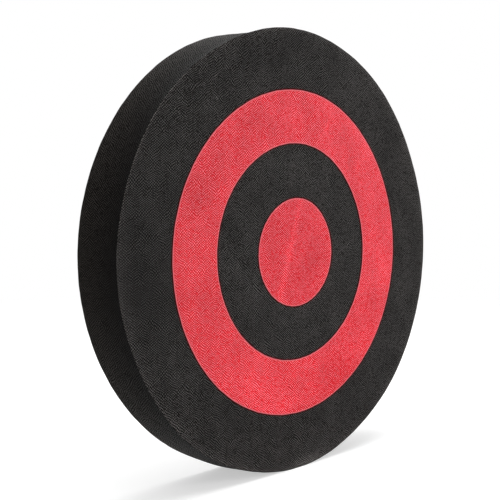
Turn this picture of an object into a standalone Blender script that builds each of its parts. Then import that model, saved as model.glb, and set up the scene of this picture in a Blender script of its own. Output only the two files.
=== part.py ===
"""Round foam target: a thick disc of black foam, with a red ring and a red bullseye printed on its front.

Metres, +Z up. The disc stands on its rim and its printed face looks along -Y. The origin is on the floor,
under the middle of the rim. A steel-rule die cut the disc out of a foam block in one stroke, and the model
has the three marks that this leaves: the rim is drawn in between its edges, both edges roll over, and a fine
line crosses the rim where the ends of the rule meet.
"""
import math

import bmesh
import bpy
from mathutils import Matrix, Vector

# Driving dimensions
DISC_RADIUS = 0.150
DISC_THICKNESS = 0.040
RING_STEP = 0.0366            # the bullseye's radius, and the width of the two bands round it

# The cut rim
EDGE_ROLL_WIDTH = 0.004       # how far a rolled edge reaches in over its face
EDGE_ROLL_DEPTH = 0.0007      # how far it reaches over the rim
WAIST_DEPTH = 0.0006          # how far the rim is drawn in, half-way between its edges
FOOT_DEPTH = 0.0009           # soft foam settles to a flat foot where it stands
CUT_LINE_ANGLE = 181.4        # degrees, counted from +X towards +Z
CUT_LINE_DEPTH = 0.0004
CUT_LINE_WIDTH = 0.0008

# The print
FILM_THICKNESS = 0.0005
SEAT_GAP = 0.0003             # round each film and under it

# Fineness of the turned forms
TURN_STEPS = 128
ROLL_STEPS = 5
WAIST_STEPS = 8
MERGE_DISTANCE = 0.00001
SHARP_ANGLE = math.radians(35)

# Worked out from the above
BULLSEYE_RADIUS = RING_STEP
RING_INNER_RADIUS = 2 * RING_STEP
RING_OUTER_RADIUS = 3 * RING_STEP
FRONT = DISC_THICKNESS / 2
BACK = -FRONT
CENTRE_HEIGHT = DISC_RADIUS - FOOT_DEPTH
QUARTER_TURN = math.pi / 2

FOAM_COLOUR = (0.030, 0.030, 0.031)
FOAM_ROUGHNESS = 0.75
PRINT_COLOUR = (0.74, 0.055, 0.07)
PRINT_ROUGHNESS = 0.6


def clear_scene():
    for existing in list(bpy.data.objects):
        bpy.data.objects.remove(existing, do_unlink=True)


def material(name, colour, roughness):
    new = bpy.data.materials.new(name)
    new.use_nodes = True
    shader = new.node_tree.nodes["Principled BSDF"]
    shader.inputs["Base Color"].default_value = (*colour, 1.0)
    shader.inputs["Roughness"].default_value = roughness
    shader.inputs["Metallic"].default_value = 0.0
    return new


def disc_axis():
    """An empty at the disc's centre, with Z along the disc's axis, out of the printed face, and Y up."""
    axis = bpy.data.objects.new("disc_axis", None)
    axis.empty_display_size = DISC_RADIUS
    axis.location = (0.0, 0.0, CENTRE_HEIGHT)
    axis.rotation_euler = (QUARTER_TURN, 0.0, 0.0)
    bpy.context.collection.objects.link(axis)
    return axis


def placed(name, mesh, axis):
    piece = bpy.data.objects.new(name, mesh)
    piece.parent = axis
    bpy.context.collection.objects.link(piece)
    return piece


def rolled_edge():
    """A quarter ellipse that leads the front face over into the rim, as (radius, height) points."""
    points = []
    for step in range(ROLL_STEPS + 1):
        turn = QUARTER_TURN * step / ROLL_STEPS
        radius = DISC_RADIUS - EDGE_ROLL_WIDTH * (1 - math.sin(turn))
        height = FRONT - EDGE_ROLL_DEPTH * (1 - math.cos(turn))
        points.append((radius, height))
    return points


def drawn_in_rim():
    """The rim between its rolled edges: one shallow hollow, half a wave of a cosine."""
    top = FRONT - EDGE_ROLL_DEPTH
    points = []
    for step in range(1, WAIST_STEPS):
        height = top * (1 - 2 * step / WAIST_STEPS)
        hollow = WAIST_DEPTH * math.cos(QUARTER_TURN * height / top)
        points.append((DISC_RADIUS - hollow, height))
    return points


def mirrored(points):
    """The same points on the back half of the disc, in the order that goes on down the section."""
    return [(radius, -height) for radius, height in reversed(points)]


def rim_section():
    return rolled_edge() + drawn_in_rim() + mirrored(rolled_edge())


def bullseye_seat():
    radius = BULLSEYE_RADIUS + SEAT_GAP
    floor = FRONT - FILM_THICKNESS - SEAT_GAP
    return [(0.0, floor), (radius, floor), (radius, FRONT)]


def ring_seat():
    inner = RING_INNER_RADIUS - SEAT_GAP
    outer = RING_OUTER_RADIUS + SEAT_GAP
    floor = FRONT - FILM_THICKNESS - SEAT_GAP
    return [(inner, FRONT), (inner, floor), (outer, floor), (outer, FRONT)]


def foam_section():
    """Half of the foam's section, from the middle of the front, over the rim, to the middle of the back."""
    return bullseye_seat() + ring_seat() + rim_section() + [(0.0, BACK)]


def bullseye_section():
    floor = FRONT - FILM_THICKNESS
    return [(0.0, FRONT), (BULLSEYE_RADIUS, FRONT), (BULLSEYE_RADIUS, floor), (0.0, floor)]


def ring_section():
    floor = FRONT - FILM_THICKNESS
    outer_side = [(RING_OUTER_RADIUS, FRONT), (RING_OUTER_RADIUS, floor)]
    inner_side = [(RING_INNER_RADIUS, floor), (RING_INNER_RADIUS, FRONT)]
    return outer_side + inner_side


def turned(name, section, axis, slot):
    """Spins a section of (radius, height) points round the axis. One that stays off the axis is a loop."""
    shape = bmesh.new()
    corners = [shape.verts.new((radius, 0.0, height)) for radius, height in section]
    sides = [shape.edges.new(pair) for pair in zip(corners, corners[1:])]
    if section[0][0] > 0:
        sides.append(shape.edges.new((corners[-1], corners[0])))
    bmesh.ops.spin(
        shape,
        geom=corners + sides,
        cent=(0.0, 0.0, 0.0),
        axis=(0.0, 0.0, 1.0),
        angle=2 * math.pi,
        steps=TURN_STEPS,
        use_merge=True,
    )
    bmesh.ops.remove_doubles(shape, verts=shape.verts, dist=MERGE_DISTANCE)
    bmesh.ops.recalc_face_normals(shape, faces=shape.faces)
    mesh = bpy.data.meshes.new(name)
    shape.to_mesh(mesh)
    shape.free()
    mesh.shade_smooth()
    mesh.set_sharp_from_angle(angle=SHARP_ANGLE)
    mesh.materials.append(slot)
    return placed(name, mesh, axis)


def swept(name, section, places, axis):
    """A closed bar: the same small section, set at each of the places in turn, and a face on each end."""
    sides = len(section)
    verts = [place @ Vector(corner) for place in places for corner in section]
    faces = []
    for ring in range(len(places) - 1):
        for side in range(sides):
            start = ring * sides + side
            following = ring * sides + (side + 1) % sides
            faces.append((start, following, following + sides, start + sides))
    faces.append(tuple(reversed(range(sides))))
    faces.append(tuple(range(len(verts) - sides, len(verts))))
    mesh = bpy.data.meshes.new(name)
    mesh.from_pydata(verts, [], faces)
    return placed(name, mesh, axis)


def cut_with(piece, cutter):
    """Takes the cutter's shape out of the piece. The cutter itself is a guide, drawn as wires."""
    cutter.hide_render = True
    cutter.display_type = "WIRE"
    boolean = piece.modifiers.new(cutter.name, "BOOLEAN")
    boolean.operation = "DIFFERENCE"
    boolean.solver = "EXACT"
    boolean.object = cutter


def foot_cutter(axis):
    """A flat block under the disc, longer than the disc is thick, whose top is the floor's plane."""
    side = DISC_RADIUS / 2
    top = -CENTRE_HEIGHT
    bottom = top - 4 * FOOT_DEPTH
    section = [(-side, bottom, 0.0), (side, bottom, 0.0), (side, top, 0.0), (-side, top, 0.0)]
    ends = [Matrix.Translation((0.0, 0.0, height)) for height in (2 * BACK, 2 * FRONT)]
    return swept("foot_cutter", section, ends, axis)


def cut_line_path():
    """The rim's section from back to front. Its ends stand clear of the foam, so the line runs out on the rolls."""
    path = list(reversed(rim_section()[1:-1]))
    for end in (0, -1):
        radius, height = path[end]
        path[end] = (radius + 2 * CUT_LINE_DEPTH, height)
    return path


def cut_line_cutter(axis):
    """A three-sided bar along the rim, point inwards, that leaves a fine V across it."""
    outside = 2 * CUT_LINE_DEPTH
    spread = CUT_LINE_WIDTH / 2 * (CUT_LINE_DEPTH + outside) / CUT_LINE_DEPTH
    section = [(-CUT_LINE_DEPTH, 0.0, 0.0), (outside, -spread, 0.0), (outside, spread, 0.0)]
    turn = Matrix.Rotation(math.radians(CUT_LINE_ANGLE), 4, "Z")
    places = [turn @ Matrix.Translation((radius, 0.0, height)) for radius, height in cut_line_path()]
    return swept("cut_line_cutter", section, places, axis)


def foam_disc(axis, foam):
    disc = turned("foam_disc", foam_section(), axis, foam)
    cut_with(disc, foot_cutter(axis))
    cut_with(disc, cut_line_cutter(axis))


def main():
    clear_scene()
    axis = disc_axis()
    red = material("red_print", PRINT_COLOUR, PRINT_ROUGHNESS)
    foam_disc(axis, material("black_foam", FOAM_COLOUR, FOAM_ROUGHNESS))
    turned("red_ring", ring_section(), axis, red)
    turned("red_bullseye", bullseye_section(), axis, red)


main()
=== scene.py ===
"""Looks of a round foam target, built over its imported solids: the die-cut foam, and the red print on it.

Metres, +Z up, and the printed face looks along -Y. A turn is an angle round the disc's axis, counted from +X
towards +Z. A depth is counted from the plane of the printed face into the foam.
"""

import math

import bpy
import numpy as np
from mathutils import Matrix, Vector


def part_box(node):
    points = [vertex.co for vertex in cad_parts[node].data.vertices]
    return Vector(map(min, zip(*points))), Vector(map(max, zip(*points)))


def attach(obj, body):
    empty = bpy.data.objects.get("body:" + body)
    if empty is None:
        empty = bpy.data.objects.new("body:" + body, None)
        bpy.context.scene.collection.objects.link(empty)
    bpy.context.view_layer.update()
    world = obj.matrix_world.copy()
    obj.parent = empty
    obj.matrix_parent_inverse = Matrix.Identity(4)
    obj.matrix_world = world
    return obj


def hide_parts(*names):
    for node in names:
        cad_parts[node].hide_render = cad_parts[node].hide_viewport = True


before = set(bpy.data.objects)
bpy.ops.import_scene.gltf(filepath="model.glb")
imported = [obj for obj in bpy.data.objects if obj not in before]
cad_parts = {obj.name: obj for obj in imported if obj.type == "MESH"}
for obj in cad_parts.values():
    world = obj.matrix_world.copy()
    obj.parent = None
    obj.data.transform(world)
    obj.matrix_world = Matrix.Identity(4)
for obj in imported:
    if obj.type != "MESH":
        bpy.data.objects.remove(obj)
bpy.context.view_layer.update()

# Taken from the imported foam
FOAM_LOW, FOAM_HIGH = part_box("foam_disc")
DISC_RADIUS = (FOAM_HIGH.x - FOAM_LOW.x) / 2
THICKNESS = FOAM_HIGH.y - FOAM_LOW.y
FACE_Y = FOAM_LOW.y
BACK_Y = FOAM_HIGH.y
FLOOR_Z = FOAM_LOW.z
CENTRE_HEIGHT = FOAM_HIGH.z - DISC_RADIUS

MM = 0.001

# The die-cut side
ROLL_WIDTH = 4.0 * MM
ROLL_DROP = 0.25 * MM
ARRIS_RADIUS = 0.4 * MM
WAIST_DEPTH = 0.6 * MM
WAIST_EXTRA_AT_TOP = 0.4 * MM
WAIST_LEAN = 0.65
FOOT_TURN = math.radians(270)
LINE_TURN = math.radians(181.4)
LINE_DEPTH = 0.35 * MM
LINE_HALF_WIDTH = 0.45 * MM
LINE_SURROUNDINGS = 3.0 * MM
NIB_HEIGHT = 0.7 * MM
NIB_HALF_WIDTH = 0.8 * MM
NIB_DEPTH = 38.0 * MM
BULGE_TURN = math.radians(250)
BULGE_HEIGHT = 1.4 * MM
BULGE_HALF_ANGLE = math.radians(7.5)

# The front's rolled edge is drawn lighter, partly by rubbing and partly by painted sheen, which makes it
# lighter on two sides of the face than between them, and more at the right than at the left. A painted
# highlight lies on a hair of its arris.
RUB_AND_SHEEN_WIDTH = 9.0 * MM
RUB_AND_SHEEN_SHARE = 0.6
SHEEN_SWING = 0.25
SHEEN_TURN = math.radians(50)
SHEEN_RIGHT_TURN = math.radians(-10)
ARRIS_HIGHLIGHT_TURN = math.radians(145)
ARRIS_HIGHLIGHT_HALF_ANGLE = math.radians(20)
ARRIS_HIGHLIGHT_SHARE = 1.5

# The print
RING_OUTER_RADIUS = 109.6 * MM
RING_INNER_RADIUS = 73.4 * MM
BULLSEYE_RADIUS = 36.6 * MM
PRINT_HEIGHT = 0.12 * MM
PRINT_SOFTNESS = 0.15 * MM
PRINT_ROOT = 0.35 * MM
# The width of the painted highlight, a pale line inside the print's border
HIGHLIGHT_LINE_WIDTH = 0.6 * MM
BLEED_WIDTH = 1.2 * MM
BLEED_HEIGHT = 0.015 * MM

# Uneven cuts and uneven print, as waves round the disc: (how many, height in mm, degrees of a crest)
OUT_OF_ROUND_WAVES = ((3, 0.6, 75), (4, 0.4, 75))
FRONT_EDGE_WAVES = ((1, 0.8, 10), (2, 0.5, 165), (8, 0.3, 5))
BACK_EDGE_WAVES = ((1, 0.35, 55), (2, 0.4, 135), (3, 0.5, 4), (5, 0.3, 45))
CUT_RIPPLE_WAVES = ((23, 0.03, 3), (41, 0.04, 5), (67, 0.03, 1), (97, 0.02, 2))
RING_OUTER_WAVES = ((1, 0.6, 285), (2, 0.2, 80))
RING_INNER_WAVES = ((1, 0.3, 150), (2, 0.2, 85))
BULLSEYE_WAVES = ((1, 0.2, 15), (2, 0.15, 55))
BLEED_WAVES = ((1, 0.25, 0), (2, 0.2, 0))
PRINT_RIPPLE_WAVES = ((31, 0.04, 4), (53, 0.04, 2), (89, 0.03, 1))

# The cut's ripple runs at a slant: radians round the disc for each metre of depth
RIPPLE_SLANT = 9.0

# Shallow unevenness of the two faces: (height in mm, waves per metre along X, along Z, start in radians)
FRONT_RELIEF = (
    (0.10, 4.1, 2.3, 0.4),
    (0.07, -6.2, 5.1, 1.9),
    (0.05, 9.7, 7.9, 4.0),
    (0.03, -14.0, 12.2, 2.2),
)
BACK_RELIEF = (
    (0.12, 3.2, -4.4, 2.1),
    (0.07, 7.3, 3.7, 0.7),
    (0.04, -9.1, 11.3, 5.2),
)

# Fineness of the meshes
TURN_COLUMNS = 760
LINE_COLUMNS = 31
FACE_ROWS = 26
FALL_ROWS = 8
ARRIS_ROWS = 9
HALF_SIDE_ROWS = 10
RING_ROWS = 24
BULLSEYE_ROWS = 16
FILM_EDGE_STEPS = 4
BLEED_BANDS = 3

# Colours, as levels from 0 to 255 on a display
FOAM_LEVELS = (19, 17, 16)
FOAM_FALL = (26, 26, 26)
FOAM_RISE = (67, 67, 67)
CUT_LEVELS = (6, 4, 2)
CUT_FALL = (6, 4, 2)
CUT_RISE = (62, 60, 59)
PRINT_LEVELS = (224, 9, 26)
PRINT_FALL = (60, 9, 26)
PRINT_RISE = (22, 131, 128)
# A painted highlight, in a pale line inside the print's border
PAINTED_HIGHLIGHT_LEVELS = (216, 106, 114)
# Painted shade, in a dark line just outside the print's edge
PAINTED_SHADE_LEVELS = (45, 0, 0)
STAIN_LEVELS = (60, 27, 25)

# The grain pressed into the skin: crossing rows of short strokes, and pores between them
STROKE_LEAN = math.radians(37)
STROKE_WIDTH = 0.62 * MM
STROKE_LENGTH = 0.8 * MM
STROKE_WANDER = 3.5
STROKE_LEAST = 0.2
STROKE_SHARE = 0.8
PORE_SIZE = 0.62 * MM
PORE_SHARE = 0.3
PRESSED_BUMP = 0.15
PRESSED_DEPTH = 0.3 * MM

# The same grain on the cut side, where it is rougher and the die has dragged it along
CUT_BUMP = 1.0
CUT_DEPTH = 0.8 * MM
DRAG_SHARE = 0.1
# Painted light and shade on the cut side: how light it is drawn at the front and at the back
CUT_FRONT_PAINTED_SHADE = 0.27
CUT_BACK_PAINTED_LIGHT = 1.7
CUT_LOW_ROUGHNESS = 0.9
CUT_HIGH_ROUGHNESS = 0.4

# Noise cells a metre
WANDER_CELLS = (180, 180, 180)
CLOUD_CELLS = (45, 45, 45)
DRAG_CELLS = (900, 45, 900)

# Marks on the printed face, in mm from the disc's middle: scuffs and creases, and broad painted light and
# shade.
# (X, Z, lean in degrees from X towards Z, half length, half width, how much lighter)
# On the black foam the small marks are scuffs and scratches. The broad ones are painted light and shade,
# lighter over the middle, towards the top and upper right and at the bottom, and darker at the left. The
# brightest, along the bottom edge, is a painted reflection.
FOAM_WEAR_AND_PAINTED_LIGHT = (
    (0, 0, 0, 80, 80, 0.25),
    (62, 115, -25, 30, 14, 0.40),
    (10, 56, -20, 22, 12, 0.22),
    (-10, 120, 0, 8, 8, 0.18),
    (-129, -8, 90, 36, 14, -0.30),
    (-137, 21, 90, 5, 5, -0.20),
    (-110, -60, 60, 6, 4, 0.30),
    (-20, -135, 0, 60, 15, 0.15),
    (12, -146, 5, 14, 3.5, 1.6),
    (-84, 106, 40, 1.6, 0.8, 0.9),
    (-90, 105, 40, 1.4, 0.7, 0.8),
    (-74, 112, 47, 3.7, 0.7, 0.7),
    (-73, 99, 0, 1.0, 1.0, 1.2),
    (-73, -113, 45, 2.5, 0.7, 1.0),
    (33, 49, -63, 10, 0.9, 0.7),
    (58, 5, 29, 10, 0.7, 0.5),
    (-56, -7, 60, 2.5, 1.5, 0.6),
    (-13, -47, 50, 2.5, 1.6, 0.5),
    (-4, 58, 50, 3.5, 2.0, 0.4),
    (116, 28, -63, 15, 0.8, 0.5),
)
# On the print the narrow marks are creases and rubs. The broad ones are painted light and shade, darker in
# the middle and at the upper left, and lighter towards the bottom.
PRINT_WEAR_AND_PAINTED_LIGHT = (
    (0, 0, 0, 45, 45, -0.08),
    (-7, -1, 73, 45, 3.2, 0.18),
    (-20, 18, 73, 16, 7, -0.06),
    (15, -10, 73, 16, 9, -0.07),
    (32, 87, 54, 9, 2.2, 0.10),
    (-42, -77, 61, 10, 2.4, 0.10),
    (-2, -84, 36, 8, 2.2, 0.08),
    (66, 60, 75, 5, 2.2, 0.14),
    (57, 63, 75, 4, 3, -0.14),
    (-86, 44, 70, 18, 13, -0.14),
    (-77, -41, 70, 16, 10, -0.01),
    (-48, -82, -30, 28, 16, 0.08),
    (-15, -85, 0, 85, 30, 0.05),
    (-35, -95, -15, 45, 16, 0.07),
    (40, -80, 0, 120, 100, 0.05),
    (-46, 80, 30, 24, 16, -0.08),
    (84, -37, 90, 10, 8, -0.10),
    (-18, -103, 0, 20, 8, 0.10),
    (96, -10, 90, 16, 9, 0.08),
)

# How much thinner the red ink lies, in the same terms, as a part of the grain's height
INK_WEAR = (
    (40, -80, 0, 120, 100, -0.06),
    (45, -92, 25, 22, 14, -0.07),
    (78, 92, -48, 26, 12, 0.22),
)

# The studio. Each softbox has its place, its width and its power in watts.
SOFTBOXES = {
    "key_softbox": ((1.05, -1.30, 0.40), 0.8, 16.0),
    "top_softbox": ((0.10, -0.10, 1.60), 1.2, 18.0),
    "rear_softbox": ((0.50, 0.90, 1.15), 0.9, 2.5),
}
SKY_STRENGTH = 0.3
WHITE = (1.0, 1.0, 1.0, 1.0)
FLOOR_COLOUR = (0.8, 0.8, 0.8, 1.0)
FLOOR_GLOW = 0.5
FLOOR_WHITE_FROM = 0.5
FLOOR_WHITE_TO = 1.1
FLOOR_HALF_SIDE = 6.0

# The camera, to the left of the disc's axis by about 45 degrees and a little higher than its middle
CAMERA_PLACE = (-0.45763, -0.43452, 0.18548)
CAMERA_LENS = 65.37
CAMERA_SENSOR = 36.0
CAMERA_DIP = math.radians(3.22)
CAMERA_TURN = math.radians(-44.9)


def waves(turn, table):
    """Each wave adds height times the cosine of its count times the angle from its crest."""
    total = np.zeros_like(turn)
    for count, height, crest in table:
        total = total + height * MM * np.cos(count * (turn - math.radians(crest)))
    return total


def relief(x, z, table):
    """Each row adds height times the sine of its waves per metre along X and along Z."""
    total = np.zeros_like(x)
    for height, along_x, along_z, start in table:
        total = total + height * MM * np.sin(2 * math.pi * (along_x * x + along_z * z) + start)
    return total


def bump_at(distance, half_width):
    """A bell: e to the power of minus the square of the distance over the half width."""
    return np.exp(-(distance / half_width) ** 2)


def turns():
    """Even steps round the disc, and fine steps near the cut line."""
    even = np.linspace(0, 2 * math.pi, TURN_COLUMNS, endpoint=False)
    fine = LINE_TURN + np.linspace(-1, 1, LINE_COLUMNS) * LINE_SURROUNDINGS / DISC_RADIUS
    return np.unique(np.concatenate([even, fine]))


def edge_radius(turn, depth):
    """The front edge's uneven radius at depth nothing, the back edge's at full depth, an S-curve between."""
    share = depth / THICKNESS
    blend = share * share * (3 - 2 * share)
    front = DISC_RADIUS + waves(turn, FRONT_EDGE_WAVES)
    back = DISC_RADIUS + waves(turn, BACK_EDGE_WAVES)
    return front + (back - front) * blend + waves(turn + RIPPLE_SLANT * depth, CUT_RIPPLE_WAVES)


def waist(turn, depth):
    """Half a sine wave across the side, deepest a third of the way back, and deeper at the disc's top."""
    deepest = WAIST_DEPTH + WAIST_EXTRA_AT_TOP * np.sin(turn)
    start = ROLL_DROP + ARRIS_RADIUS
    share = np.clip((depth - start) / (THICKNESS - 2 * start), 0, 1)
    return deepest * np.sin(math.pi * share ** WAIST_LEAN)


def bulge(turn, depth):
    """Foam squeezed out beside the foot: half a sine wave across the side, under a bell along it."""
    along = bump_at(turn - BULGE_TURN, BULGE_HALF_ANGLE)
    return BULGE_HEIGHT * along * np.sin(math.pi * depth / THICKNESS)


def cut_marks(turn, depth):
    """A groove across the side where the ends of the die meet, a bell in section, and the nib that they leave
    at the back edge, a bell along the edge times a bell across it."""
    along = (turn - LINE_TURN) * DISC_RADIUS
    groove = LINE_DEPTH * bump_at(along, LINE_HALF_WIDTH)
    nib = NIB_HEIGHT * bump_at(along, NIB_HALF_WIDTH) * bump_at(depth - NIB_DEPTH, 2 * NIB_HALF_WIDTH)
    return nib - groove


def disc_points(radius, turn, depth):
    """X and Z from the disc's middle are the radius times cosine and sine of the turn. The whole block, its
    print with it, is stretched out of round in the same way. The relief of the front face fades into that of
    the back with the depth."""
    stretched = radius * (1 + waves(turn, OUT_OF_ROUND_WAVES) / DISC_RADIUS)
    x = stretched * np.cos(turn)
    z = stretched * np.sin(turn)
    share = depth / THICKNESS
    unevenness = relief(x, z, FRONT_RELIEF) * (1 - share) + relief(x, z, BACK_RELIEF) * share
    return np.stack([x, FACE_Y + depth + unevenness, CENTRE_HEIGHT + z], axis=-1)


def steps(start, end, count):
    """Even steps from start to end, without the start itself."""
    return np.linspace(start, end, count + 1)[1:]


def foam_section():
    """Rows of the section from the middle of the front over the side to the middle of the back.

    Each row has the share of the radius, the distance in from the edge, and the depth. Over its outermost few
    millimetres a face falls away with the square of the distance, and a small round arris leads to the side,
    which is straight before its waist is taken off. The back half is the front half, mirrored.
    """
    face = steps(0, 1, FACE_ROWS)
    fall = steps(0, 1, FALL_ROWS)
    slope = math.atan(2 * ROLL_DROP / ROLL_WIDTH)
    bend = steps(slope, math.pi / 2, ARRIS_ROWS)
    fall_end = ARRIS_RADIUS * (1 - math.sin(slope))
    fall_inset = ROLL_WIDTH + (fall_end - ROLL_WIDTH) * fall
    arris_inset = ARRIS_RADIUS * (1 - np.sin(bend))
    fall_depth = ROLL_DROP * fall ** 2
    arris_depth = ROLL_DROP + ARRIS_RADIUS * (math.cos(slope) - np.cos(bend))
    side = steps(arris_depth[-1], THICKNESS / 2, HALF_SIDE_ROWS)
    share = np.concatenate([face, np.ones(len(fall) + len(bend) + len(side))])
    inset = np.concatenate([np.full_like(face, ROLL_WIDTH), fall_inset, arris_inset, np.zeros_like(side)])
    depth = np.concatenate([np.zeros_like(face), fall_depth, arris_depth, side])
    share = np.concatenate([share, share[-2::-1]])
    inset = np.concatenate([inset, inset[-2::-1]])
    depth = np.concatenate([depth, THICKNESS - depth[-2::-1]])
    return share[:, None], inset[:, None], depth[:, None]


def foam_points():
    """The radius is a share of the uneven edge, less its waist and its inset.

    What would be under the floor is flattened on it.
    """
    turn = turns()[None, :]
    share, inset, depth = foam_section()
    edge = edge_radius(turn, depth) - waist(turn, depth) + bulge(turn, depth) - inset
    edge = edge + cut_marks(turn, depth) * (inset < ARRIS_RADIUS)
    points = disc_points(share * edge, turn + 0 * share, depth + 0 * turn)
    points[..., 2] = np.maximum(points[..., 2], FLOOR_Z)
    return points


def rubbed_and_sheen():
    """How much lighter the front's skin is drawn, with no unit, by rubbing and by painted sheen: the square
    of how near the edge is, most at the upper right and the lower left of the face, and a painted highlight
    on a hair of its arris under a bell along it."""
    turn = turns()[None, :]
    share, inset, depth = foam_section()
    distance = inset + (1 - share) * (DISC_RADIUS - ROLL_WIDTH)
    nearness = np.clip(1 - distance / RUB_AND_SHEEN_WIDTH, 0, 1) ** 2
    # The swing round the disc is painted sheen
    swing = np.cos(2 * (turn - SHEEN_TURN)) + np.cos(turn - SHEEN_RIGHT_TURN)
    on_front = depth < THICKNESS / 2
    on_arris = (inset < ARRIS_RADIUS) & (depth < ROLL_DROP + ARRIS_RADIUS)
    # A painted highlight on the arris, at the upper left
    hair = ARRIS_HIGHLIGHT_SHARE * bump_at(turn - ARRIS_HIGHLIGHT_TURN, ARRIS_HIGHLIGHT_HALF_ANGLE)
    return nearness * (RUB_AND_SHEEN_SHARE + SHEEN_SWING * swing) * on_front + on_arris * hair


def film_edge():
    """Rows at a film's edge, from its root in the foam, over the bleed and a quarter ellipse, to its top.

    Each has the distance in from the edge, the height over the foam, and how far it has the painted lines at
    the edge: painted shade on the bleed, and a painted highlight inside the edge.
    """
    bend = np.linspace(0, math.pi / 2, FILM_EDGE_STEPS)
    rounded = PRINT_SOFTNESS * (1 - np.cos(bend))
    rise = BLEED_HEIGHT + (PRINT_HEIGHT - BLEED_HEIGHT) * np.sin(bend)
    bleed = -BLEED_WIDTH * np.array([1.0, 1.0, 0.5, 0.1])
    border = HIGHLIGHT_LINE_WIDTH * np.array([0.6, 1.0, 1.5])
    inward = np.concatenate([bleed, rounded, border])
    bleed_height = np.array([-PRINT_ROOT, BLEED_HEIGHT, BLEED_HEIGHT, BLEED_HEIGHT])
    height = np.concatenate([bleed_height, rise, np.full_like(border, PRINT_HEIGHT)])
    painted_edge_line = np.concatenate([[0, 0, 0.8, 1], np.ones_like(bend), [1, 0.6, 0]])
    return inward[:, None], height[:, None], painted_edge_line[:, None]


def shares_across(rows):
    """Even shares of the way over a film, without its edges."""
    return np.linspace(0, 1, rows + 2)[1:-1, None]


def print_edge(turn, radius, table):
    """A circle with its own waves, and with fine ripples that start elsewhere on each radius."""
    return radius + waves(turn, table) + waves(turn + radius / MM, PRINT_RIPPLE_WAVES)


def bled(turn, inward):
    """The rows outside the print's edge reach out further or less far, as the bleed's waves say."""
    return inward * np.where(inward < 0, 1 + waves(turn, BLEED_WAVES) / BLEED_WIDTH, 1)


def ring_points():
    """A flat band between two uneven circles, with soft edges that reach into the foam, and painted lines of
    highlight and shade along its edges.

    Between its edges, a row's radius is a share of the way from the inner to the outer.
    """
    turn = np.linspace(0, 2 * math.pi, TURN_COLUMNS, endpoint=False)[None, :]
    inward, height, painted_edge_line = film_edge()
    share = shares_across(RING_ROWS)
    inward = bled(turn, inward)
    inner = print_edge(turn, RING_INNER_RADIUS, RING_INNER_WAVES) + inward
    outer = print_edge(turn, RING_OUTER_RADIUS, RING_OUTER_WAVES) - inward[::-1]
    radius = np.concatenate([inner, inner[-1] + (outer[0] - inner[-1]) * share, outer])
    height = np.concatenate([height, np.full_like(share, PRINT_HEIGHT), height[::-1]])
    painted_edge_line = np.concatenate([painted_edge_line, 0 * share, painted_edge_line[::-1]])
    points = disc_points(radius, turn + 0 * radius, 0 * radius)
    points[..., 1] -= height
    return points, painted_edge_line + 0 * turn


def bullseye_points():
    """A flat disc inside an uneven circle, with a soft edge that reaches into the foam, and painted lines of
    highlight and shade along it.

    Inside its edge, a row's radius is a share of the edge's.
    """
    turn = np.linspace(0, 2 * math.pi, TURN_COLUMNS // 2, endpoint=False)[None, :]
    inward, height, painted_edge_line = (rows[::-1] for rows in film_edge())
    share = shares_across(BULLSEYE_ROWS)
    edge = print_edge(turn, BULLSEYE_RADIUS, BULLSEYE_WAVES) - bled(turn, inward)
    radius = np.concatenate([edge[0] * share, edge])
    height = np.concatenate([np.full_like(share, PRINT_HEIGHT), height])
    painted_edge_line = np.concatenate([0 * share, painted_edge_line])
    points = disc_points(radius, turn + 0 * radius, 0 * radius)
    points[..., 1] -= height
    return points, painted_edge_line + 0 * turn


def skin(name, points, closed_by_poles):
    """Faces over a grid of points, rows by columns. The last column joins the first.

    With poles, a fan to the mean of the first row closes one end, and a fan to the mean of the last row the
    other. Without, the last row joins the first.
    """
    rows, columns = points.shape[:2]
    index = np.arange(rows * columns).reshape(rows, columns)
    if not closed_by_poles:
        index = np.concatenate([index, index[:1]])
    beside = np.roll(index, -1, axis=1)
    quads = np.stack([index[:-1], index[1:], beside[1:], beside[:-1]], axis=-1).reshape(-1, 4)
    corners = points.reshape(-1, 3)
    faces = quads.tolist()
    if closed_by_poles:
        poles = np.stack([points[0].mean(axis=0), points[-1].mean(axis=0)])
        corners = np.concatenate([corners, poles])
        first = np.full(columns, rows * columns)
        last = first + 1
        faces += np.stack([first, index[0], beside[0]], axis=-1).tolist()
        faces += np.stack([index[-1], last, beside[-1]], axis=-1).tolist()
    mesh = bpy.data.meshes.new(name)
    mesh.from_pydata(corners.tolist(), [], faces)
    mesh.validate()
    mesh.shade_smooth()
    piece = bpy.data.objects.new(name, mesh)
    bpy.context.scene.collection.objects.link(piece)
    return piece


def keep(piece, name, shares):
    """Stores a share at each point of the grid, and 0 at the poles."""
    values = np.zeros(len(piece.data.vertices), np.float32)
    values[:shares.size] = shares.ravel()
    piece.data.attributes.new(name, "FLOAT", "POINT").data.foreach_set("value", values)


def keep_unrolled(piece, turn, depth):
    """Stores at each corner of a face how far it is round the disc from the foot, and how deep, in metres.

    In the poles' fans both are 0.
    """
    columns = len(turn)
    bands = len(depth) - 1
    start = DISC_RADIUS * ((turn - FOOT_TURN) % (2 * math.pi))
    end = start + DISC_RADIUS * np.diff(turn, append=turn[0] + 2 * math.pi)
    places = np.zeros((bands, columns, 4, 3))
    places[..., 0] = np.stack([start, start, end, end], axis=-1)
    places[..., 1] = np.stack([depth[:-1], depth[1:], depth[1:], depth[:-1]], axis=-1)[:, None, :]
    fans = np.zeros((2, columns, 3, 3))
    unrolled = np.concatenate([places.ravel(), fans.ravel()])
    piece.data.attributes.new("unrolled", "FLOAT_VECTOR", "CORNER").data.foreach_set("vector", unrolled)


# Materials

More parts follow.
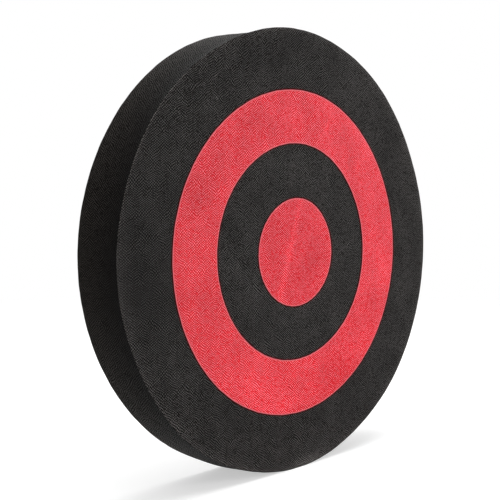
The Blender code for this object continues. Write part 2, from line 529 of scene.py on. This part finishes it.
def node(tree, kind, inputs=None, **settings):
    """Adds a node, makes its settings, and fills its inputs with values or with other nodes' outputs."""
    new = tree.nodes.new(kind)
    for name, value in settings.items():
        setattr(new, name, value)
    for name, value in (inputs or {}).items():
        if isinstance(value, bpy.types.NodeSocket):
            tree.links.new(value, new.inputs[name])
        else:
            new.inputs[name].default_value = value
    return new


def plain_material(name):
    material = bpy.data.materials.new(name)
    material.use_nodes = True
    tree = material.node_tree
    return material, tree, tree.nodes["Principled BSDF"]


def object_place(tree):
    return node(tree, "ShaderNodeTexCoord").outputs["Object"]


def kept(tree, name):
    """What a piece's mesh stores under a name."""
    return node(tree, "ShaderNodeAttribute", attribute_name=name)


def noise(tree, cells, detail=0.0):
    """Noise from 0 to 1, of so many cells a metre along X, Y and Z."""
    place = node(tree, "ShaderNodeMapping", {"Vector": object_place(tree), "Scale": cells}).outputs["Vector"]
    return node(tree, "ShaderNodeTexNoise", {"Vector": place, "Scale": 1.0, "Detail": detail}).outputs["Fac"]


def maths(tree, operation, first, second=0.0):
    return node(tree, "ShaderNodeMath", {0: first, 1: second}, operation=operation).outputs["Value"]


def dot_product(tree, first, second):
    product = node(tree, "ShaderNodeVectorMath", {0: first, 1: second}, operation="DOT_PRODUCT")
    return product.outputs["Value"]


def ranged(tree, value, start, end, low=0.0, high=1.0):
    """From low to high as the value goes from start to end, and no further."""
    limits = {"Value": value, "From Min": start, "From Max": end, "To Min": low, "To Max": high}
    return node(tree, "ShaderNodeMapRange", limits).outputs["Result"]


def weighted(tree, start, parts):
    """Start plus the sum of sockets, each times its weight."""
    total = start
    for socket, weight in parts:
        total = maths(tree, "ADD", total, maths(tree, "MULTIPLY", socket, weight))
    return total


def light_of(level):
    """Light that a display level from 0 to 255 stands for, by the usual curve of displays."""
    share = min(max(level, 0), 255) / 255
    return share / 12.92 if share < 0.04 else ((share + 0.055) / 1.055) ** 2.4


def flat_colour(levels):
    return (*(light_of(level) for level in levels), 1.0)


def shaded(tree, value, levels, fall, rise):
    """The colour of the given display levels where the value is a half. As the value goes down to 0 or up
    to 1, each channel's level goes down by its fall or up by its rise."""
    new = node(tree, "ShaderNodeValToRGB", {"Fac": value})
    elements = new.color_ramp.elements
    places = (0.0, 0.25, 0.5, 0.75, 1.0)
    while len(elements) < len(places):
        elements.new(1.0)
    for element, place in zip(elements, places):
        changes = fall if place < 0.5 else rise
        changed = [level + change * (2 * place - 1) for level, change in zip(levels, changes)]
        element.position = place
        element.color = flat_colour(changed)
    return new.outputs["Color"]


def times(tree, colour, level):
    """The colour, lighter or darker."""
    scaled = node(tree, "ShaderNodeVectorMath", {0: colour, "Scale": level}, operation="SCALE")
    return scaled.outputs["Vector"]


def blended(tree, share, first, second):
    """The first colour, or the second as the share goes from 0 to 1."""
    mix = node(tree, "ShaderNodeMix", {0: share, 6: first, 7: second}, data_type="RGBA")
    return mix.outputs[2]


def measured(tree, place, direction, unit):
    """How far a place is along a direction, counted in the unit."""
    return dot_product(tree, place, Vector(direction) / unit)


def strokes(tree, place, across, along):
    """Rows of strokes, from -1 to 1: ridge rows and groove rows in turn, one after another in the direction
    across, each cut into strokes in the direction along. A groove is pressed as deep as the ridge beside it
    is high, and that is random. The rows wander a little, and each pair starts at its own place."""
    wander = noise(tree, WANDER_CELLS)
    straight = measured(tree, place, across, STROKE_WIDTH)
    row = maths(tree, "FLOOR", weighted(tree, straight, ((wander, STROKE_WANDER),)))
    half_row = maths(tree, "MULTIPLY", row, 0.5)
    pair = maths(tree, "FLOOR", half_row)
    start = node(tree, "ShaderNodeTexWhiteNoise", {"W": pair}, noise_dimensions="1D").outputs["Value"]
    count = maths(tree, "FLOOR", maths(tree, "ADD", measured(tree, place, along, STROKE_LENGTH), start))
    stroke = node(tree, "ShaderNodeCombineXYZ", {"X": pair, "Y": count}).outputs["Vector"]
    depth = node(tree, "ShaderNodeTexWhiteNoise", {"Vector": stroke}, noise_dimensions="2D").outputs["Value"]
    # The fraction of half a row's number is 0 or a half, which makes the sign -1 or 1
    sign = weighted(tree, -1.0, ((maths(tree, "FRACT", half_row), 4.0),))
    return maths(tree, "MULTIPLY", sign, weighted(tree, STROKE_LEAST, ((depth, 1 - STROKE_LEAST),)))


def pores(tree):
    """Cells of random shape, each with its own height from -1 to 1."""
    cells = node(tree, "ShaderNodeTexVoronoi", {"Vector": object_place(tree), "Scale": 1 / PORE_SIZE})
    height = node(tree, "ShaderNodeSeparateXYZ", {0: cells.outputs["Color"]}).outputs["X"]
    return weighted(tree, -1.0, ((height, 2.0),))


def grained(tree, first, second):
    """Two lots of strokes that cross, with the foam's own pores showing through. Around a half."""
    return weighted(tree, 0.5, (
        (pores(tree), PORE_SHARE / 2),
        (first, STROKE_SHARE / 2),
        (second, STROKE_SHARE / 2),
    ))


def face_grain(tree):
    """On a face, the strokes lean from level. They are layers that go on into the foam at a slant."""
    place = object_place(tree)
    level = math.cos(STROKE_LEAN)
    rise = math.sin(STROKE_LEAN)
    up = strokes(tree, place, across=(-rise, rise, level), along=(level, -level, rise))
    down = strokes(tree, place, across=(rise, -rise, level), along=(level, -level, -rise))
    return grained(tree, up, down)


def side_grain(tree):
    """On the side, the strokes lean from straight across it, wherever they are round it."""
    place = kept(tree, "unrolled").outputs["Vector"]
    level = math.cos(STROKE_LEAN)
    rise = math.sin(STROKE_LEAN)
    up = strokes(tree, place, across=(level, rise, 0), along=(rise, -level, 0))
    down = strokes(tree, place, across=(level, -rise, 0), along=(-rise, -level, 0))
    return grained(tree, up, down)


def clouds(tree, faintest, brightest):
    """Broad patches with smaller ones in them, from the faintest to the brightest level."""
    patches = noise(tree, CLOUD_CELLS, detail=2.0)
    return ranged(tree, patches, start=0.3, end=0.7, low=faintest, high=brightest)


def oval_marks(tree, level, table):
    """Level plus soft oval marks: each adds its strength times a bell of the distance from its middle."""
    place = object_place(tree)
    parts = []
    for x, z, lean, half_length, half_width, strength in table:
        oval = node(tree, "ShaderNodeMapping", {
            "Vector": place,
            "Location": (x * MM, FACE_Y, CENTRE_HEIGHT + z * MM),
            "Rotation": (0.0, -math.radians(lean), 0.0),
            "Scale": (half_length * MM, THICKNESS / 3, half_width * MM),
        }, vector_type="TEXTURE").outputs["Vector"]
        distance_squared = dot_product(tree, oval, oval)
        parts.append((maths(tree, "POWER", 1 / math.e, distance_squared), strength))
    return weighted(tree, level, parts)


def bumped(tree, shader, height, strength, distance):
    bump = node(tree, "ShaderNodeBump", {"Height": height, "Strength": strength, "Distance": distance})
    tree.links.new(bump.outputs["Normal"], shader.inputs["Normal"])


def finish(tree, shader, colour, roughness, specular):
    tree.links.new(colour, shader.inputs["Base Color"])
    shader.inputs["Roughness"].default_value = roughness
    shader.inputs["Specular IOR Level"].default_value = specular


def pressed_foam():
    """The moulded skin of black foam: matt, with a fine grain, an edge lightened by rubbing and painted
    sheen, a few light scuffs, and broad painted light and shade.
    """
    material, tree, shader = plain_material("pressed_foam")
    grain = face_grain(tree)
    # Broad painted light and shade and a few scuffs, over random clouds
    marked_and_lit = oval_marks(tree, clouds(tree, faintest=0.8, brightest=1.2), FOAM_WEAR_AND_PAINTED_LIGHT)
    # Adds the edge lightened by rubbing, its painted sheen and the painted highlight on its arris
    level = maths(tree, "ADD", marked_and_lit, kept(tree, "rub_and_sheen").outputs["Fac"])
    colour = times(tree, shaded(tree, grain, FOAM_LEVELS, FOAM_FALL, FOAM_RISE), level)
    finish(tree, shader, colour, roughness=0.75, specular=0.03)
    bumped(tree, shader, grain, PRESSED_BUMP, PRESSED_DEPTH)
    return material


def cut_foam():
    """The side that the die cut, with the same grain laid open and dragged along.

    It is darker than the face. Painted light and shade make it darker at the front and lighter towards the
    back. The high spots of its grain are the smoothest.
    """
    material, tree, shader = plain_material("cut_foam")
    drag = noise(tree, DRAG_CELLS)
    grain = weighted(tree, 0.0, ((side_grain(tree), 1 - DRAG_SHARE), (drag, DRAG_SHARE)))
    y = node(tree, "ShaderNodeSeparateXYZ", {0: object_place(tree)}).outputs["Y"]
    # Painted light and shade, darker at the front and lighter towards the back
    lighter = ranged(tree, y, FACE_Y, BACK_Y, CUT_FRONT_PAINTED_SHADE, CUT_BACK_PAINTED_LIGHT)
    level = maths(tree, "MULTIPLY", lighter, clouds(tree, faintest=0.94, brightest=1.06))
    colour = times(tree, shaded(tree, grain, CUT_LEVELS, CUT_FALL, CUT_RISE), level)
    finish(tree, shader, colour, roughness=CUT_LOW_ROUGHNESS, specular=0.024)
    polish = ranged(tree, grain, start=0.2, end=0.8, low=CUT_LOW_ROUGHNESS, high=CUT_HIGH_ROUGHNESS)
    tree.links.new(polish, shader.inputs["Roughness"])
    bumped(tree, shader, grain, CUT_BUMP, CUT_DEPTH)
    return material


def red_print():
    """Red print over the pressed grain, unevenly laid, with the creases and rubs that use has left on it, and
    broad painted light and shade.

    A paler line along its border is a painted highlight.
    """
    material, tree, shader = plain_material("red_print")
    grain = face_grain(tree)
    inked = oval_marks(tree, grain, INK_WEAR)
    # Broad painted light and shade, with creases and rubs, over random clouds
    level = oval_marks(tree, clouds(tree, faintest=0.92, brightest=1.08), PRINT_WEAR_AND_PAINTED_LIGHT)
    printed = times(tree, shaded(tree, inked, PRINT_LEVELS, PRINT_FALL, PRINT_RISE), level)
    # A painted highlight, in a pale line along the border
    colour = blended(tree, kept(tree, "painted_edge_line").outputs["Fac"], printed, flat_colour(PAINTED_HIGHLIGHT_LEVELS))
    finish(tree, shader, colour, roughness=0.6, specular=0.06)
    bumped(tree, shader, grain, PRESSED_BUMP, PRESSED_DEPTH)
    return material


def stain_and_painted_shade():
    """Ink that the press has squeezed out of the print's edge: next to the edge a dark, dull line of painted
    shade, and further out a stain.
    """
    material, tree, shader = plain_material("stain_and_painted_shade")
    grain = face_grain(tree)
    stain = shaded(tree, grain, STAIN_LEVELS, fall=STAIN_LEVELS, rise=STAIN_LEVELS)
    # Painted shade in a dark line next to the print's edge, and a stain further out
    colour = blended(tree, kept(tree, "painted_edge_line").outputs["Fac"], stain, flat_colour(PAINTED_SHADE_LEVELS))
    finish(tree, shader, colour, roughness=0.8, specular=0.01)
    bumped(tree, shader, grain, PRESSED_BUMP, PRESSED_DEPTH)
    return material


def seen_directly(tree):
    """One for camera, glossy and transmission rays."""
    path = node(tree, "ShaderNodeLightPath")
    glossy = maths(tree, "MAXIMUM", path.outputs["Is Camera Ray"], path.outputs["Is Glossy Ray"])
    return maths(tree, "MAXIMUM", glossy, path.outputs["Is Transmission Ray"])


def mixed(tree, share, first, second):
    """The first shader, or the second as the share goes from 0 to 1."""
    inputs = {0: share, 1: first.outputs[0], 2: second.outputs[0]}
    return node(tree, "ShaderNodeMixShader", inputs)


def pale_floor():
    """A pale matt floor that shows white to the camera and in reflections, and keeps the object's shadow.

    Away from the object it goes over into plain white.
    """
    material, tree, shader = plain_material("pale_floor")
    shader.inputs["Base Color"].default_value = FLOOR_COLOUR
    shader.inputs["Roughness"].default_value = 0.9
    shader.inputs["Specular IOR Level"].default_value = 0.0
    glow = node(tree, "ShaderNodeEmission", {"Color": WHITE, "Strength": FLOOR_GLOW})
    lit = node(tree, "ShaderNodeAddShader", {0: shader.outputs[0], 1: glow.outputs[0]})
    white = node(tree, "ShaderNodeEmission", {"Color": WHITE, "Strength": 1.0})
    reach = node(tree, "ShaderNodeVectorMath", {0: object_place(tree)}, operation="LENGTH").outputs["Value"]
    floor = mixed(tree, ranged(tree, reach, FLOOR_WHITE_FROM, FLOOR_WHITE_TO), lit, white)
    seen = mixed(tree, seen_directly(tree), shader, floor)
    tree.links.new(seen.outputs[0], tree.nodes["Material Output"].inputs["Surface"])
    return material


def make_world():
    """A dim, even sky that lights the object, and white where it is seen directly."""
    world = bpy.data.worlds.new("studio")
    bpy.context.scene.world = world
    world.use_nodes = True
    tree = world.node_tree
    dim = tree.nodes["Background"]
    dim.inputs["Color"].default_value = WHITE
    dim.inputs["Strength"].default_value = SKY_STRENGTH
    white = node(tree, "ShaderNodeBackground", {"Color": WHITE, "Strength": 1.0})
    seen = mixed(tree, seen_directly(tree), dim, white)
    tree.links.new(seen.outputs[0], tree.nodes["World Output"].inputs["Surface"])


# The studio

def softbox(name, place, width, power):
    """A square lamp that faces the middle of the disc."""
    lamp = bpy.data.lights.new(name, "AREA")
    lamp.shape = "SQUARE"
    lamp.size = width
    lamp.energy = power
    holder = bpy.data.objects.new(name, lamp)
    holder.location = place
    target = Vector((0.0, 0.0, CENTRE_HEIGHT))
    holder.rotation_euler = (target - holder.location).to_track_quat("-Z", "Y").to_euler()
    bpy.context.scene.collection.objects.link(holder)


def make_floor():
    side = FLOOR_HALF_SIDE
    places = ((-side, -side), (side, -side), (side, side), (-side, side))
    corners = [(x, y, FLOOR_Z) for x, y in places]
    mesh = bpy.data.meshes.new("studio_floor")
    mesh.from_pydata(corners, [], [(0, 1, 2, 3)])
    mesh.materials.append(pale_floor())
    floor = bpy.data.objects.new("studio_floor", mesh)
    bpy.context.scene.collection.objects.link(floor)


def make_studio():
    for name, (place, width, power) in SOFTBOXES.items():
        softbox(name, place, width, power)
    make_world()
    make_floor()


def make_camera():
    lens = bpy.data.cameras.new("camera")
    lens.sensor_fit = "HORIZONTAL"
    lens.sensor_width = CAMERA_SENSOR
    lens.lens = CAMERA_LENS
    lens.clip_start = 0.01
    lens.clip_end = 50.0
    camera = bpy.data.objects.new("camera", lens)
    camera.location = CAMERA_PLACE
    camera.rotation_euler = (math.pi / 2 - CAMERA_DIP, 0.0, CAMERA_TURN)
    bpy.context.scene.collection.objects.link(camera)
    bpy.context.scene.camera = camera


# The pieces

def dress(piece, materials, node_name):
    """Gives a piece its materials. It rides on the one body, in place of its solid."""
    for material in materials:
        piece.data.materials.append(material)
    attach(piece, "root")
    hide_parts(node_name)


def make_foam():
    """The foam block. Its side, from arris to arris, is cut foam, and the rest is pressed foam."""
    piece = skin("target_foam", foam_points(), closed_by_poles=True)
    keep(piece, "rub_and_sheen", rubbed_and_sheen())
    turn = turns()
    depth = foam_section()[2][:, 0]
    keep_unrolled(piece, turn, depth)
    nearest = np.minimum(depth, THICKNESS - depth)
    cut_row = nearest > ROLL_DROP + ARRIS_RADIUS / 2
    side = np.repeat(cut_row[:-1] & cut_row[1:], len(turn))
    fans = np.zeros(2 * len(turn), bool)
    is_cut = np.concatenate([side, fans])
    dress(piece, (pressed_foam(), cut_foam()), "foam_disc")
    piece.data.polygons.foreach_set("material_index", is_cut.astype(np.int32))


def make_film(name, points, painted_edge_lines, materials, closed_by_poles, node_name):
    """A print film. The faces outside its edges are bled ink, in a stain and in painted shade. With poles, it
    has only an outer edge.
    """
    piece = skin(name, points, closed_by_poles)
    keep(piece, "painted_edge_line", painted_edge_lines)
    dress(piece, materials, node_name)
    rows, columns = points.shape[:2]
    bled_faces = BLEED_BANDS * columns
    end = (rows - 1) * columns
    is_bled = np.zeros(len(piece.data.polygons), np.int32)
    is_bled[:bled_faces] = not closed_by_poles
    is_bled[end - bled_faces:end] = 1
    piece.data.polygons.foreach_set("material_index", is_bled)


def make_print():
    materials = (red_print(), stain_and_painted_shade())
    make_film("ring_print", *ring_points(), materials, False, "red_ring")
    make_film("bullseye_print", *bullseye_points(), materials, True, "red_bullseye")


bpy.context.scene.view_settings.view_transform = "Standard"
make_camera()
make_studio()
make_foam()
make_print()
